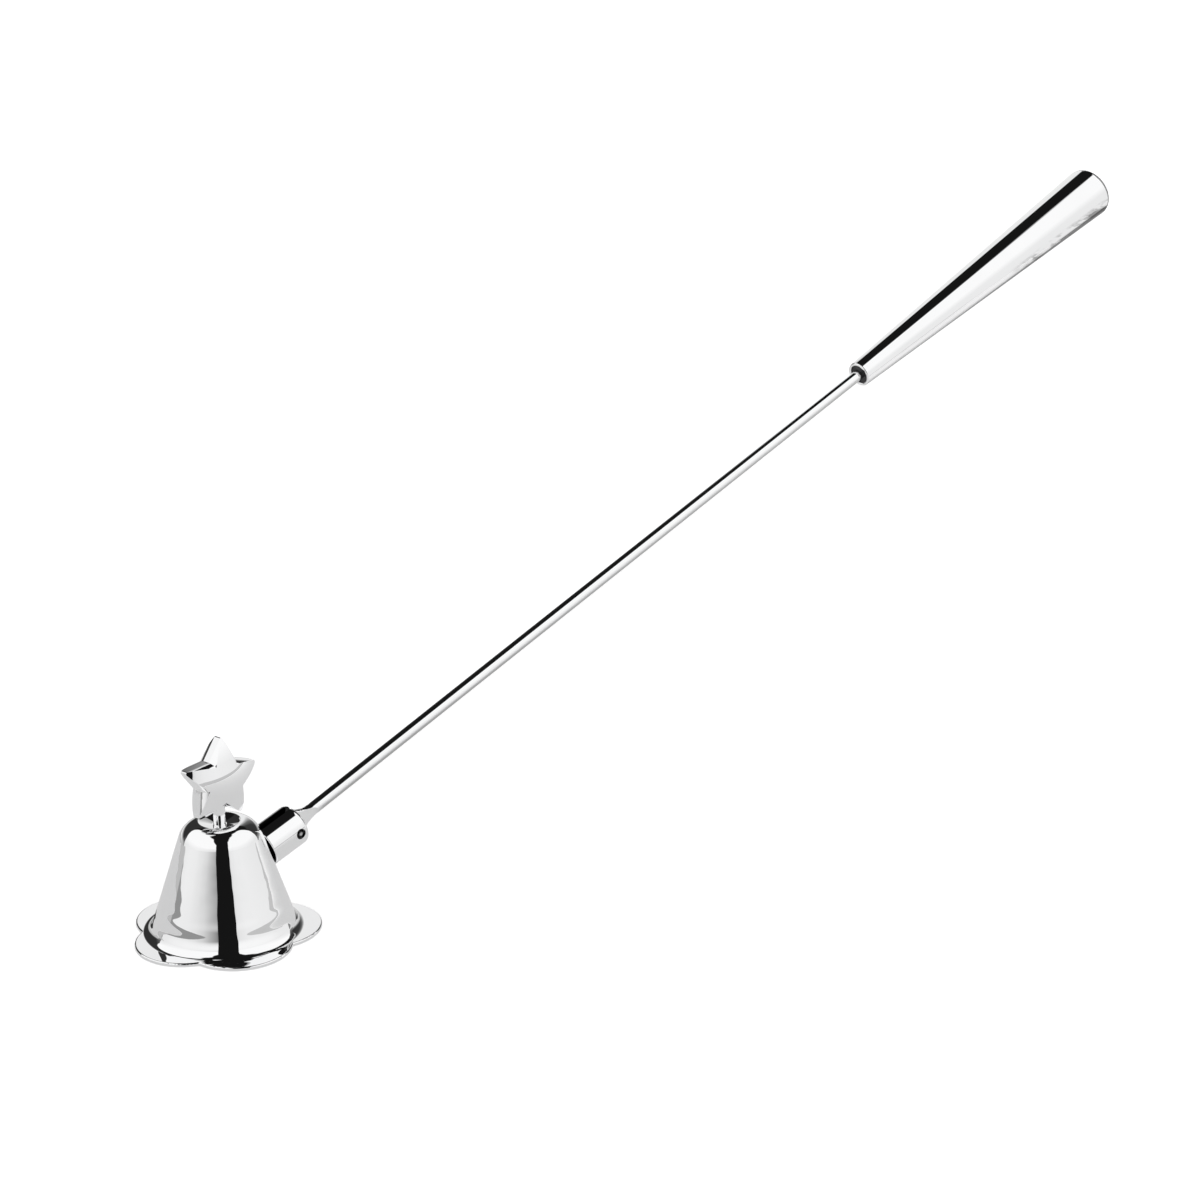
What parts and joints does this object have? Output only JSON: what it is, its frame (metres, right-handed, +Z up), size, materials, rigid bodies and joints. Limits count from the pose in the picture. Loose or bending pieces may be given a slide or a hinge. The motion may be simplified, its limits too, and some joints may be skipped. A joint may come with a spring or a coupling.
{
  "type": "candle snuffer",
  "caption": "Polished candle snuffer: a bell with a flower-shaped brim and a star finial, hinged in a slotted barrel to a long slim rod with a tapered round handle.",
  "frame": {"origin": "centre of the bell's mouth, on the flat plane that the brim stands on", "axes": "+Z up along the bell's axis, +X level towards the handle, +Y along the hinge pin"},
  "size_m": [0.3421, 0.043, 0.1372],
  "materials": {
    "polished_chrome": "mirror polished plating with faint handling marks",
    "plain_steel": "plain turned steel"
  },
  "bodies": {
    "bell": {"bell": "polished_chrome", "star_finial": "polished_chrome", "finial_washer": "plain_steel", "finial_nut": "plain_steel", "hinge_barrel": "polished_chrome", "barrel_washer": "plain_steel", "barrel_screw": "plain_steel", "hinge_pin": "plain_steel"},
    "handle": {"rod": "polished_chrome", "handle_bush": "plain_steel", "handle_shell": "polished_chrome"}
  },
  "joints": [
    {"name": "hinge_swing", "type": "hinge", "parent": "bell", "child": "handle", "pos_m": [0.01894, 0, 0.01948], "axis": [0, -1, 0], "range_deg": [-95, 85]}
  ]
}
